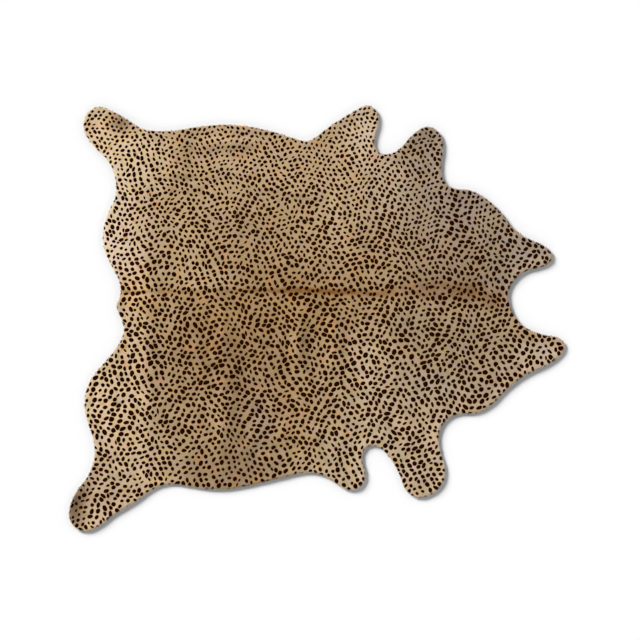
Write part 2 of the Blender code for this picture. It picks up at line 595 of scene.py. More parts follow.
CREASES = (
    # place, squares across and down at the start and end of the crest, reach aside and height in metres
    ("across the rump, right half", 148, 296, 149, 474, 0.030, 0.0012),
    ("across the rump, left half", 166, 140, 167, 300, 0.030, 0.0006),
    ("behind the right ribs", 223, 296, 224, 360, 0.015, 0.0012),
    ("behind the right ribs, lower", 221, 370, 221, 478, 0.018, 0.0007),
    ("between the right ribs, rear", 299, 302, 299, 374, 0.030, 0.0014),
    ("between the right ribs, rear, lower", 306, 366, 308, 410, 0.024, 0.0010),
    ("between the right ribs, front", 336, 306, 337, 384, 0.030, 0.0012),
    ("between the right ribs, front, lower", 346, 372, 351, 410, 0.020, 0.0008),
    ("behind the right elbow", 361, 302, 370, 344, 0.012, 0.0006),
    ("over the left shoulder, upper", 333, 188, 348, 222, 0.028, 0.0012),
    ("over the left shoulder, lower", 350, 212, 370, 254, 0.030, 0.0018),
    ("along the left flank", 194, 144, 262, 144, 0.020, 0.0018),
    ("below the left flank", 190, 169, 262, 172, 0.040, 0.0016),
    ("across the left flank", 177, 130, 179, 190, 0.045, 0.0026),
    ("under the left flank, upper", 156, 174, 206, 174, 0.014, 0.0012),
    ("under the left flank, lower", 154, 187, 206, 188, 0.018, 0.0016),
    ("along the left ribs, rear", 226, 179, 288, 194, 0.014, 0.0014),
    ("along the left ribs, front", 278, 191, 328, 198, 0.019, 0.0014),
    ("on the left loin", 235, 192, 235, 242, 0.020, 0.0008),
    ("on the right thigh", 98, 372, 117, 408, 0.022, 0.0014),
)
CREASE_END = 0.30

RIM_CURL = 0.0017
RIM_CURL_REACH = 0.050
RIM_CURL_CHANGE = 0.5
RIM_CURL_LENGTH = 0.16
RIM_CURL_SEED = 11.5


def crease_lift(points):
    """How far the creases lift these places. Each dies out smoothly towards both ends."""
    total = np.zeros(len(points))
    for _, across_0, down_0, across_1, down_1, reach, rise in CREASES:
        start = on_floor(across_0, down_0)
        run = on_floor(across_1, down_1) - start
        along = np.clip((points - start) @ run / (run @ run), 0, 1)
        aside = np.linalg.norm(points - start - along[:, None] * run, axis=1) / reach
        fade = np.clip(np.minimum(along, 1 - along) / CREASE_END, 0, 1)
        total += rise * np.exp(-(aside**4)) * eased(fade)
    return total


def rim_lift(points):
    """How far the hide's thin rim curls up from the floor, more in some places than in others."""
    share = np.clip(1 - inside.at(points) / RIM_CURL_REACH, 0, 1)
    change = RIM_CURL_CHANGE * noise_at(points, RIM_CURL_LENGTH, RIM_CURL_SEED)
    return RIM_CURL * share**2 * (1 + change)


def uneven_chart():
    chart = Chart(INSIDE_STEP)
    total = lift.at(chart.points) + crease_lift(chart.points) + rim_lift(chart.points)
    for number, (length, height) in enumerate(HILLS):
        total += height * np.maximum(noise_at(chart.points, length, number + HILL_SEED), 0)
    return chart.fill(total)


flesh = uneven_chart()
print("with hills and creases, the flesh side is up to", round(flesh.values.max() * 1000, 2), "mm up")

# %% [markdown]
# ## Slabs
# Both the skin and the coat are closed slabs: a lower skin of triangles, an upper one, and rings of quads
# round the rim between them. A Solidify modifier would give a plain wall, and the hair needs a rounded one.
# So each ring is the cut edge moved in or out by a small step at its own height, and a list of steps is the
# profile of the rim. The skins are filled by a Delaunay triangulation of an even grid, which gives
# triangles of one size and no long slivers.
# %% Filling a ring with triangles
ROW_RISE = math.sqrt(3) / 2
RIM_CLEARANCE = 0.55
WHOLE_HULL = 0
MERGE_WITHIN = 1e-7


def triangular_grid(step):
    """Points over the whole hide, all the same way apart: every second row is shifted by half a step."""
    rows = np.arange(low_corner.y, high_corner.y, step * ROW_RISE)
    columns = np.arange(low_corner.x, high_corner.x, step)
    across, up = np.meshgrid(columns, rows)
    across = across + (np.arange(len(rows)) % 2)[:, None] * step / 2
    return np.column_stack((across.ravel(), up.ravel()))


def grid_inside(step, clearance):
    """The points of such a grid that are further inside the edge than the clearance."""
    points = triangular_grid(step)
    return points[inside.at(points) > clearance]


def twice_area(corners):
    """Twice the area of flat triangles, below zero where they turn clockwise."""
    first = corners[:, 1] - corners[:, 0]
    second = corners[:, 2] - corners[:, 0]
    return first[:, 0] * second[:, 1] - first[:, 1] * second[:, 0]


def filled(ring, step, clearance):
    """The ring's points and a grid inside it, and the triangles that join them."""
    points = np.vstack((ring, grid_inside(step, clearance)))
    count = len(ring)
    sides = [(i, (i + 1) % count) for i in range(count)]
    made = delaunay_2d_cdt([Vector(p) for p in points], sides, [], WHOLE_HULL, MERGE_WITHIN, True)
    given = np.array([numbers[0] for numbers in made[3]])
    if len(given) != len(points):
        raise ValueError("the triangulation added or joined points")
    faces = given[np.array(made[2])]
    # Three points of an anticlockwise ring, taken in its order, turn anticlockwise only where the triangle
    # between them lies inside it.
    in_order = np.sort(faces, axis=1)
    outside = (in_order[:, 2] < count) & (twice_area(points[in_order]) <= 0)
    faces = faces[~outside]
    clockwise = twice_area(points[faces]) < 0
    faces[clockwise] = faces[clockwise][:, ::-1]
    return points, faces


print("a 50 mm grid has", len(grid_inside(0.05, 0.0)), "points inside the edge")


# %% Building a slab from the profile of its rim
def build_slab(name, profile, step, bumps=None):
    """profile: for each ring, how far out of the cut edge it is and how far above the flesh side."""
    rings = [edge + edge_out * out for out, _ in profile]
    count = len(edge)
    under, under_faces = filled(rings[0], step, -profile[0][0] + step * RIM_CLEARANCE)
    over, over_faces = filled(rings[-1], step, -profile[-1][0] + step * RIM_CLEARANCE)
    flat = [under, *rings[1:-1], over]
    heights = [np.full(len(part), height) for part, (_, height) in zip(flat, profile)]
    if bumps is not None:
        heights[-1] = heights[-1] + bumps(over)
    starts = np.concatenate(([0], np.cumsum([len(part) for part in flat])))
    places = np.vstack(flat)
    level = flesh.at(places) + np.concatenate(heights)
    faces = [tuple(face) for face in under_faces[:, ::-1].tolist()]
    around = np.arange(count)
    beyond = (around + 1) % count
    for lower, upper in zip(starts[:-2], starts[1:-1]):
        quads = np.column_stack((lower + around, lower + beyond, upper + beyond, upper + around))
        faces += [tuple(face) for face in quads.tolist()]
    faces += [tuple(face) for face in (over_faces + starts[-2]).tolist()]
    mesh = bpy.data.meshes.new(name)
    mesh.from_pydata(np.column_stack((places, level)).tolist(), [], faces)
    mesh.shade_smooth()
    return into_scene(name, mesh)


def show_piece(piece):
    piece.data.calc_loop_triangles()
    print(piece.name, "has", len(piece.data.loop_triangles), "triangles")


# %% [markdown]
# ## The skin
# Cowhide for a rug is shaved to about two millimetres. The flesh side is pale suede, and the knife leaves
# an upright edge with a barely broken corner, for which four rings are enough. The skin shows only from
# below and at its cut, so its grid is coarser than the coat's.
# %% The skin
SKIN_STEP = 0.018
SKIN_PROFILE = (
    # out of the cut edge, and above the flesh side, in metres
    (-0.0014, 0.0000),
    (-0.0010, 0.0003),
    (-0.0010, 0.0018),
    (-0.0013, 0.0021),
)

skin = build_slab("hide_leather", SKIN_PROFILE, SKIN_STEP)
show_piece(skin)

# %% [markdown]
# ## The coat
# The hairs lie so close that together they are one soft body, two millimetres deep. At the rim it rounds
# over and hides the cut. Its top is not smooth: hair gathers into shallow clumps two to four centimetres
# across.
# %% The coat
COAT_STEP = 0.0112
COAT_PROFILE = (
    # out of the cut edge, and above the flesh side, in metres
    (-0.0030, 0.0019),
    (-0.0004, 0.0014),
    (0.0004, 0.0021),
    (0.0002, 0.0030),
    (-0.0009, 0.0037),
    (-0.0030, 0.0041),
)
CLUMPS = (
    # length of a clump, and its height, in metres
    (0.045, 0.00025),
    (0.018, 0.00012),
)
CLUMP_SEED = 7.5


def clump_bumps(points):
    return sum(height * noise_at(points, length, CLUMP_SEED + length) for length, height in CLUMPS)


coat = build_slab("hair_coat", COAT_PROFILE, COAT_STEP, clump_bumps)
show_piece(coat)

# %% [markdown]
# Hair scatters light, so the rim of a coat isn't as bright as a hard wall that faces the lamp. Normals of
# its own, turned most of the way up, make the rounded rim shade like the top of the coat beside it.
# %% Soft normals at the rim
RIM_SOFT_WIDTH = 0.008
RIM_TURNED_UP = 0.85
FACES_DOWN = -0.3


def in_threes(rows, name):
    """The three numbers that each row of a mesh has under this name."""
    values = np.empty(len(rows) * 3)
    rows.foreach_get(name, values)
    return values.reshape(-1, 3)


def soften_rim(mesh):
    """Turns up the normals of the vertices near the rim, except on the underside."""
    places = in_threes(mesh.vertices, "co")
    normals = in_threes(mesh.vertex_normals, "vector")
    share = np.clip(1 - inside.at(places[:, :2]) / RIM_SOFT_WIDTH, 0, 1) * RIM_TURNED_UP
    share[normals[:, 2] < FACES_DOWN] = 0
    normals = normals * (1 - share)[:, None]
    normals[:, 2] += share
    normals /= np.linalg.norm(normals, axis=1)[:, None]
    mesh.normals_split_custom_set_from_vertices(normals.tolist())
    return int((share > 0).sum())


print(soften_rim(coat.data), "vertices of the coat have their normals turned up")

# %% [markdown]
# ## Which way the hair lies
# On the living animal the hair runs from the head to the tail along the back, turns outward over the ribs
# and runs down each leg to the hoof. A short table gives the direction at the places that pull it off the
# line of the back. Each pull fades with distance.
# %% The lay of the hair
TAILWARD = 180.0
SIDEWAYS_LEAN = 0.64
LEAN_REACH = 0.35
PULLS = (
    # place, squares across and down, direction in degrees from the neck's way, reach in metres, strength
    ("left hind shank", 106, 126, 137, 0.17, 3.0),
    ("right hind shank", 92, 505, 227, 0.20, 3.0),
    ("left thigh", 140, 205, 165, 0.20, 0.8),
    ("right thigh", 130, 420, 197, 0.22, 0.8),
    ("left foreleg, rear lobe", 360, 126, 74, 0.11, 3.0),
    ("left foreleg, front lobe", 428, 148, 84, 0.13, 3.0),
    ("right foreleg, rear lobe", 352, 472, 283, 0.11, 3.0),
    ("right foreleg, front lobe", 422, 465, 275, 0.14, 3.0),
    ("left cheek", 535, 254, 165, 0.12, 1.0),
    ("right cheek", 545, 348, 197, 0.12, 1.0),
)
WANDER = 9.0
WANDER_LENGTH = 0.11
WANDER_SEED = 3.5


def lay_of_hair(points):
    """The direction in which the hair lies at these places, as an angle."""
    x = np.full(len(points), math.cos(math.radians(TAILWARD)))
    y = SIDEWAYS_LEAN * np.tanh(points[:, 1] / LEAN_REACH)
    for _, across, down, direction, reach, strength in PULLS:
        away = np.linalg.norm(points - on_floor(across, down), axis=1) / reach
        pull = strength * np.exp(-(away**2))
        x += pull * math.cos(math.radians(direction))
        y += pull * math.sin(math.radians(direction))
    return np.arctan2(y, x)


angles = lay_of_hair(np.array([on_floor(300, 290), on_floor(92, 515), on_floor(250, 150)]))
print("hair lies at", np.degrees(angles).round(), "degrees on the back, the right shank and the left belly")

# %% [markdown]
# ## Locks of hair
# Single hairs are too fine for a mesh of this size, but hair lies in flat locks of a millimetre or two, and
# those can be real shapes. Each lock is a closed sliver of four triangles: two root corners sunk in the
# coat, a ridge two fifths of the way along, and a tip. Arrays place them all at once, with a seed, so that
# each run gives the same coat. At the rim a lock is trimmed, so that its tip reaches over the cut only a
# little.
# %% The places of the locks
LOCK_SPACING = 0.00392
LOCK_JITTER = 0.42
HAIR_SEED = 20
ROOT_CLEARANCE = 0.0012


def lock_roots(rng):
    """A jittered triangular grid of roots inside the edge."""
    points = triangular_grid(LOCK_SPACING)
    points += rng.uniform(-1, 1, points.shape) * LOCK_SPACING * LOCK_JITTER
    return points[inside.at(points) > ROOT_CLEARANCE]


hair_random = np.random.default_rng(HAIR_SEED)
roots = lock_roots(hair_random)
print("the coat has", len(roots), "locks")

# %% The shape of the locks
LOCK_LENGTH = (0.014, 0.020)
LOCK_WIDTH = (0.0014, 0.0022)
ROOT_DEPTH = 0.0003
TIP_LIFT = (0.0001, 0.0005)
RIDGE_AT = 0.42
RIDGE_HEIGHT = 0.00010
OVERHANG = (0.0040, 0.0095)
SHORTEST = 0.25
TRIM_PASSES = 3
COAT_TOP = COAT_PROFILE[-1][1]
LOCK_TURN = 7.0
LOCK_ROUNDNESS = 0.09
LOCK_TILT = 0.035
SLOPE_OVER = 0.006
LOCK_CORNERS = 4


def trimmed(points, direction, length, overhang):
    """The length that each lock may have before its tip passes the cut edge by more than its overhang."""
    for _ in range(TRIM_PASSES):
        past = -inside.at(points + direction * length[:, None]) - overhang
        length = length - np.maximum(past, 0)
    return np.maximum(length, LOCK_LENGTH[0] * SHORTEST)


def rim_drop(points):
    """How far the coat's top falls towards the rim, where it rounds over."""
    depth = np.clip(inside.at(points), -OVERHANG[0], -COAT_PROFILE[-1][0])
    outs = [-out for out, _ in COAT_PROFILE[2:]]
    falls = [COAT_TOP - height for _, height in COAT_PROFILE[2:]]
    return np.interp(depth, outs, falls)


def hair_level(points):
    """How high the top of the coat is at these places."""
    return flesh.at(points) + COAT_TOP - rim_drop(points)


def slope_at(points):
    """How steeply the folds rise at these places, along x and along y."""
    rises = [flesh.at(points + step) - flesh.at(points - step) for step in np.eye(2) * SLOPE_OVER]
    return np.column_stack(rises) / (2 * SLOPE_OVER)


def lock_shapes(points, rng, turned=0.0):
    """The four corners of every lock, two at its root, one on its ridge and its tip, and their normals."""
    wander = WANDER * noise_at(points, WANDER_LENGTH, WANDER_SEED)
    angle = lay_of_hair(points) + np.radians(wander + LOCK_TURN * rng.standard_normal(len(points)))
    direction = np.column_stack((np.cos(angle), np.sin(angle))) + turned
    direction /= np.linalg.norm(direction, axis=1)[:, None]
    side = np.column_stack((-direction[:, 1], direction[:, 0]))
    overhang = OVERHANG[0] + (OVERHANG[1] - OVERHANG[0]) * rng.random(len(points)) ** 2
    length = trimmed(points, direction, rng.uniform(*LOCK_LENGTH, len(points)), overhang)
    half_width = rng.uniform(*LOCK_WIDTH, len(points))[:, None] / 2
    lifts = rng.uniform(*TIP_LIFT, len(points))
    tip = points + direction * length[:, None]
    ridge = points + direction * (length * RIDGE_AT)[:, None]
    corners = np.empty((len(points), LOCK_CORNERS, 3))
    rows = (points + side * half_width, points - side * half_width, ridge, tip)
    for number, (at, above) in enumerate(zip(rows, (-ROOT_DEPTH, -ROOT_DEPTH, 0.0, lifts))):
        corners[:, number, :2] = at
        corners[:, number, 2] = hair_level(at) + above
    root_level = corners[:, :2, 2].mean(axis=1)
    straight = root_level + (corners[:, 3, 2] - root_level) * RIDGE_AT
    corners[:, 2, 2] = np.maximum(corners[:, 2, 2], straight) + RIDGE_HEIGHT
    normals = np.ones((len(points), LOCK_CORNERS, 3))
    tilt = LOCK_TILT * rng.standard_normal((len(points), 2))
    for number, (at, lean) in enumerate(zip(rows, (LOCK_ROUNDNESS, -LOCK_ROUNDNESS, 0.0, 0.0))):
        normals[:, number, :2] = tilt + side * lean - slope_at(at)
    return corners, normals / np.linalg.norm(normals, axis=2)[..., None]


corners, normals = lock_shapes(roots, hair_random)
shades = hair_random.random(len(roots))
lock_lengths = np.linalg.norm(corners[:, 3] - corners[:, 0], axis=1)
print("a lock is", round(lock_lengths.mean() * 1000, 1), "mm long on average")

# %% [markdown]
# The locks are joined into four meshes, because a mesh of two hundred thousand triangles is as much as one
# piece should hold. Neighbours are dealt out in turn, so that each mesh covers the whole hide. A flat
# sliver would flash in a low light, so each lock also gets normals of its own: they follow the fold that it
# lies on, lean a little to both sides, as on a round bundle of hair, and differ a little from lock to lock.
# %% Joining the locks into meshes
LOCK_PIECES = 4
LOCK_FACES = ((0, 1, 2), (3, 0, 2), (1, 3, 2), (1, 0, 3))


def build_locks(name, corners, normals, shades):
    count = len(corners)
    mesh = bpy.data.meshes.new(name)
    mesh.vertices.add(count * LOCK_CORNERS)
    mesh.vertices.foreach_set("co", corners.astype(np.float32).ravel())
    faces = (np.array(LOCK_FACES)[None] + np.arange(count)[:, None, None] * LOCK_CORNERS).reshape(-1)
    mesh.loops.add(len(faces))
    mesh.loops.foreach_set("vertex_index", faces.astype(np.int32))
    mesh.polygons.add(count * len(LOCK_FACES))
    mesh.polygons.foreach_set("loop_start", np.arange(0, len(faces), 3, dtype=np.int32))
    shade = mesh.attributes.new("shade", "FLOAT", "POINT")
    shade.data.foreach_set("value", np.repeat(shades, LOCK_CORNERS).astype(np.float32))
    mesh.update(calc_edges=True)
    mesh.validate()
    mesh.shade_smooth()
    mesh.normals_split_custom_set_from_vertices(normals.reshape(-1, 3).tolist())
    return into_scene(name, mesh)


locks = []
for number in range(LOCK_PIECES):
    dealt = slice(number, None, LOCK_PIECES)
    locks.append(build_locks(f"hair_locks_{number + 1}", corners[dealt], normals[dealt], shades[dealt]))
    show_piece(locks[-1])

# %% [markdown]
# The knife cuts the skin but not the hair, so a fringe hangs over the whole cut edge. Its locks are rooted
# just inside the edge, much closer together, and are turned part of the way outward.
# %% The fringe
FRINGE_STEP = 0.0011
FRINGE_INSET = (0.0005, 0.0030)
FRINGE_TURN = 1.1


def build_fringe(rng):
    rim = evenly_spaced(edge, FRINGE_STEP)
    out = outward(rim)
    rooted = rim - out * rng.uniform(*FRINGE_INSET, len(rim))[:, None]
    return build_locks("hair_fringe", *lock_shapes(rooted, rng, out * FRINGE_TURN), rng.random(len(rim)))


locks.append(build_fringe(hair_random))
show_piece(locks[-1])

# %% [markdown]
# ## The print
# The spots are an ordinary animal print: dark ovals about two and a half centimetres apart, in rows that
# bend into arcs. Blender's cell texture could place them, but it cuts a spot off where its neighbour's cell
# begins. So the print is worked out with sums. The rows are a honeycomb: each place on the rug falls into a
# lozenge between four of its points, and each point holds one spot, pushed off its place, turned and sized
# by chance. The four spots are measured, and the one that the place lies deepest in gives the colour.
# Towards the left flank, at the top of the picture, the rows are set closer and the spots are smaller.
# %% The rows of the print
PRINT_PITCH = 0.0253
ARCH_LENGTH = 0.297
ARCH = 0.015
SWAY_LENGTH = 0.43
SWAY = 0.013
FLAT = (1.0, 1.0, 0.0)
DRIFT_LENGTH = 0.24
DRIFT = 0.034
# how close the rows are on the line of the back, how that rises with each metre to the left, and its bend
CROWDING = (0.968, 0.10, 0.12)
CROWDING_MIDDLE = -0.25


def bent_rows(finish, place):
    """Where a place falls among straight rows, how much the rows slant there and how close they are."""
    x, y = finish.parts(place)
    level, rise, bend = CROWDING
    closeness = (y * bend + rise) * y + level
    set_x = (x - CROWDING_MIDDLE) * closeness
    set_y = ((y * (bend / 3) + rise / 2) * y + level) * y
    drift = finish.grain(finish.times(place, FLAT), 1 / DRIFT_LENGTH, 1.0).output("Color")
    drift_x, drift_y = finish.parts(drift)
    arch = x * (2 * math.pi / ARCH_LENGTH)
    sway = y * (2 * math.pi / SWAY_LENGTH)
    row_x = set_x + drift_x * DRIFT + sway.sine() * SWAY
    row_y = set_y + drift_y * DRIFT + arch.sine() * ARCH
    spread = (x - CROWDING_MIDDLE) * (y * (bend * 2) + rise)
    slant_x = sway.cosine() * (SWAY * 2 * math.pi / SWAY_LENGTH) + spread
    slant_y = arch.cosine() * (ARCH * 2 * math.pi / ARCH_LENGTH)
    return row_x, row_y, slant_x, slant_y, closeness


print("one spot has about", round(PRINT_PITCH**2 * ROW_RISE * 1e6), "square mm of the coat")

# %% [markdown]
# A spot's own chances come from white noise, which gives three numbers for each point of the honeycomb.
# Three more are made of them. The chances set where the spot lies, how long and narrow it is and which of
# two ways it points. Few spots are very long or very narrow, because a high power of a chance is nearly
# always small. Spots near each other mostly point the same way, so that choice also follows soft noise over
# the honeycomb.
# %% One spot
SPOT_PUSH = 0.18
MORE_CHANCES = (7.3, 9.1, 5.7)
RARE = 8
COMMON = 0.6
# half a spot's length in metres, at the least, and what is added to many spots and to few
SPOT_HALF_LENGTH = 0.0066
SPOT_GROWTH = 0.0046
SPOT_RARE_GROWTH = 0.0024
# how many times its width a spot is long: at the least, and what is added to many, to few and to long ones
SPOT_ASPECT = (1.10, 0.46, 0.50, 0.34)
# in degrees: the least turn, what chance adds to it, and what the second way adds
SPOT_TURN = (8.0, 66.0, 80.0)
# over how many spots the ways are alike, how strongly, and above which sum a spot takes the second way
SPOT_ALIKE = (4.2, 6.0, 3.36)
# places along y in metres, and the size of the spots there
SPOT_SIZE_AT = ((-0.90, -0.20, 0.25, 0.80), (0.96, 1.06, 0.97, 0.79))


def one_spot(finish, column, row, row_x, row_y, slant_x, slant_y, size):
    """How deep inside this spot a place lies, in metres. Outside it the number is below zero."""
    point = finish.node("ShaderNodeCombineXYZ", {}, {0: column, 1: row})
    noise_at_point = finish.node("ShaderNodeTexWhiteNoise", {"noise_dimensions": "2D"}, {"Vector": point})
    split = finish.node("ShaderNodeSeparateColor", {}, {0: noise_at_point.output("Color")})
    chances = (split, split.output(1), split.output(2))
    way, turn_on, narrow = ((chance * more).fraction() for chance, more in zip(chances, MORE_CHANCES))
    push_x, push_y, long = chances
    off_x = row_x - (column + row * 0.5 + (push_x - 0.5) * (2 * SPOT_PUSH)) * PRINT_PITCH
    off_y = row_y - (row * ROW_RISE + (push_y - 0.5) * (2 * SPOT_PUSH)) * PRINT_PITCH
    x = off_x - off_y * slant_x
    y = off_y - off_x * slant_y
    first, spread, second = (math.radians(degrees) for degrees in SPOT_TURN)
    run, strength, limit = SPOT_ALIKE
    second_way = finish.grain(point, 1 / run, 0.0) * strength + way > limit
    turn = second_way * second + turn_on * spread + first
    cosine = turn.cosine()
    sine = turn.sine()
    very_long = long**RARE
    least, to_many, to_few, to_long = SPOT_ASPECT
    aspect = narrow * to_many + narrow**RARE * to_few + very_long * to_long + least
    half_length = long**COMMON * SPOT_GROWTH + very_long * SPOT_RARE_GROWTH + SPOT_HALF_LENGTH
    away = ((x * cosine + y * sine) ** 2 + ((y * cosine - x * sine) * aspect) ** 2) ** 0.5
    return half_length * size - away


longest = SPOT_HALF_LENGTH + SPOT_GROWTH + SPOT_RARE_GROWTH
print("a spot is", round(SPOT_HALF_LENGTH * 2000, 1), "to", round(longest * 2000, 1), "mm long")

# %% The four spots round a place
LOZENGE = ((0, 0), (1, 0), (0, 1), (1, 1))
SPOT_GAP = 0.0030
OUTLINE_BUMPS = 110.0
OUTLINE_ROUGHNESS = 0.0030
FEATHER_HAIRS = (130.0, 900.0, 0.0)
FEATHER = 0.0030
# how deep inside the outline, in metres, each of these starts and is complete
STAIN = (-0.0010, -0.0003)
FULL_DYE = (0.0002, 0.0009)
MIDDLE_DEPTH = (0.0040, 0.0095)


def spot_print(finish, place):
    """Where the hair is stained, where it is fully dyed, and the middle of a large spot, all from 0 to 1."""
    row_x, row_y, slant_x, slant_y, closeness = bent_rows(finish, place)
    size = finish.steps(finish.parts(place)[1], *SPOT_SIZE_AT) * closeness
    row = row_y * (1 / PRINT_PITCH / ROW_RISE)
    column = row_x * (1 / PRINT_PITCH) - row * 0.5
    first_row = row.whole()
    first_column = column.whole()
    deepest = next_deepest = finish.constant(-PRINT_PITCH)
    for along, up in LOZENGE:
        depth = one_spot(finish, first_column + along, first_row + up, row_x, row_y, slant_x, slant_y, size)
        next_deepest = next_deepest.larger(deepest.smaller(depth))
        deepest = deepest.larger(depth)
    rough = finish.grain(place, OUTLINE_BUMPS, 1.0) - 0.5
    feather = finish.grain(finish.times(place, FEATHER_HAIRS)) - 0.5
    outline = deepest.smaller(deepest - next_deepest - SPOT_GAP)
    outline = outline + rough * OUTLINE_ROUGHNESS + feather * FEATHER
    stain = finish.ramp(outline, *STAIN)
    full = finish.ramp(outline, *FULL_DYE)
    return stain, full, finish.ramp(deepest, *MIDDLE_DEPTH)


print("each place on the rug looks at", len(LOZENGE), "spots")

# %% [markdown]
# ## The coat's colour, with painted shade
# Under the print the coat is a natural tan. It is palest on the rump and shanks, browner along the back and
# greyer at the neck, with a thin dark line down the spine. A painted picture could carry that, but a table
# can be read and changed. Each row of it is one soft patch, whose colour fades in towards its middle.
# Some darker rows are partly painted shade: they darken the coat where soft folds and the lifted shank
# edges are shaded, on top of the hair's own colour. Streaks and small warm flecks break it up.
# %% Patches of the coat
PATCH_FADE = 1.25
COAT_BASE = (160, 136, 103)
COAT_PATCHES_AND_PAINTED_SHADE = (
    # place, squares across and down, reach across and down in squares, colour
    ("rump", 94, 222, 68, 165, (209, 187, 161)),
    ("right thigh", 95, 415, 82, 150, (201, 177, 144)),
    ("right thigh, lower side", 140, 462, 55, 45, (186, 162, 130)),
    ("left thigh", 132, 152, 50, 50, (200, 179, 150)),
    ("left hind shank", 105, 125, 55, 60, (193, 168, 133)),
    # partly painted shade: darker at the shank's inner edge, where it lifts
    ("left hind shank, inner side", 121, 122, 18, 16, (130, 108, 82)),
    ("right hind shank", 104, 500, 66, 60, (179, 156, 128)),
    # partly painted shade: darker at the shank's outer edge, where it lifts
    ("right hind shank, outer side", 74, 500, 17, 34, (109, 89, 67)),
    ("left flank", 240, 150, 110, 70, (168, 144, 114)),
    # partly painted shade: the dark side of the fold across the left flank
    ("before the left thigh", 188, 156, 24, 32, (159, 135, 105)),
    # partly painted shade: darker below the back, where soft folds are shaded
    ("small of the back", 235, 345, 95, 110, (145, 119, 87)),
    ("right loin", 200, 425, 50, 50, (162, 138, 106)),
    ("middle of the back", 290, 300, 110, 52, (149, 122, 87)),
    ("right of the spine", 235, 309, 125, 22, (153, 126, 90)),
    ("rise of the loin", 203, 279, 42, 17, (175, 152, 119)),
    ("left hip", 180, 228, 56, 80, (170, 146, 113)),
    # partly painted shade of a soft fold
    ("left loin", 246, 230, 32, 30, (153, 131, 102)),
    ("right hip", 162, 322, 26, 28, (170, 144, 109)),
    ("left buttock", 105, 180, 20, 34, (213, 192, 163)),
    ("root of the tail", 132, 291, 26, 22, (188, 154, 111)),
    ("right ribs, front", 370, 372, 34, 60, (182, 160, 132)),
    ("right ribs, lower", 305, 425, 48, 42, (163, 133, 96)),
    ("right flank", 262, 428, 20, 66, (152, 132, 107)),
    ("right belly, rear", 240, 485, 70, 60, (136, 116, 90)),
    ("right belly, front", 376, 464, 90, 104, (175, 157, 129)),
    ("right shoulder", 445, 388, 70, 42, (163, 146, 125)),
    ("left shoulder", 345, 190, 60, 80, (169, 146, 115)),
    ("left foreleg, rear lobe", 365, 126, 32, 52, (186, 165, 139)),
    ("left elbow", 393, 186, 27, 42, (178, 160, 135)),
    ("left foreleg, front lobe", 430, 145, 30, 40, (140, 127, 111)),
    ("right forelegs", 436, 468, 80, 74, (175, 155, 129)),
    ("left side of the neck", 460, 200, 100, 80, (140, 126, 111)),
    ("crest of the neck", 460, 275, 75, 50, (138, 120, 98)),
    ("right of the withers", 409, 322, 28, 26, (151, 133, 107)),
    ("end of the neck", 502, 258, 24, 70, (134, 120, 103)),
    ("right side of the neck", 475, 340, 80, 50, (149, 131, 107)),
    ("right jaw", 493, 384, 32, 22, (158, 141, 118)),
    ("left cheek", 530, 250, 42, 32, (147, 135, 120)),
    ("right cheek", 535, 357, 42, 24, (173, 156, 134)),
)


def away_from(x, y, across, down, reach_across, reach_down):
    """How far a place is from a place in the picture, as a share of the reach each way."""
    middle_x, middle_y = on_floor(across, down)
    away_x = (x - float(middle_x)) / (reach_across * SQUARE)
    away_y = (y - float(middle_y)) / (reach_down * SQUARE)
    return (away_x**2 + away_y**2) ** 0.5


def coat_colour_and_painted_shade(finish, place):
    """The colour of the hair at a place, without the print: its natural tan, with painted shade in some
    patches.
    """
    x, y = finish.parts(place)
    tone = finish.mix(0.0, colour(*COAT_BASE), colour(*COAT_BASE))
    for _, across, down, reach_across, reach_down, patch in COAT_PATCHES_AND_PAINTED_SHADE:
        away = away_from(x, y, across, down, reach_across, reach_down)
        tone = finish.mix(finish.ramp(away, 0.0, PATCH_FADE, 1.0, 0.0), tone, colour(*patch))
    return tone


print("the coat's colour has", len(COAT_PATCHES_AND_PAINTED_SHADE), "patches")

# %% The spine line
SPINE_BROWN = (112, 72, 30)
SPINE = (
    # squares across, and there: squares down, half width in squares and strength
    (116, 292.0, 3.4, 0.00),
    (128, 292.0, 3.6, 0.50),
    (160, 291.5, 3.6, 0.38),
    (225, 291.0, 3.6, 0.40),
    (262, 291.0, 3.8, 0.65),
    (300, 290.5, 4.8, 0.92),
    (345, 292.0, 4.6, 1.00),
    (378, 294.0, 5.4, 0.68),
    (400, 290.5, 11.0, 0.44),
    (440, 289.0, 14.0, 0.58),
    (472, 291.0, 18.0, 0.62),
    (492, 299.0, 18.0, 0.50),
    (514, 301.0, 16.0, 0.00),
)
SPINE_CORE = 0.1
# scale and detail of the noise that the line wavers with, and by how many metres
SPINE_WAVER_NOISE = (9.0, 2.0)
SPINE_WAVER = 0.008
# the noise that breaks the line up, the two values between which it fills in, and the least that is left
SPINE_BLOTCHES = (22.0, 3.0)
SPINE_BLOTCH_LIMITS = (0.3, 0.6)
SPINE_LEAST = 0.65


def spine_line(finish, place, x, y):
    """How much of the dark line down the spine a place has, from 0 to 1."""
    waver = (finish.grain(place, *SPINE_WAVER_NOISE) - 0.5) * SPINE_WAVER
    blotches = finish.ramp(finish.grain(place, *SPINE_BLOTCHES), *SPINE_BLOTCH_LIMITS)
    starts = [float(on_floor(row[0], 0)[0]) for row in SPINE]
    middle = finish.steps(x, starts, [float(on_floor(0, row[1])[1]) for row in SPINE])
    half_width = finish.steps(x, starts, [row[2] * SQUARE for row in SPINE])
    strength = finish.steps(x, starts, [row[3] for row in SPINE])
    line = finish.ramp(abs(y - middle + waver) / half_width, SPINE_CORE, 1.0, 1.0, 0.0)
    return line * strength * (blotches * (1 - SPINE_LEAST) + SPINE_LEAST)


print("the spine line is laid out at", len(SPINE), "places")

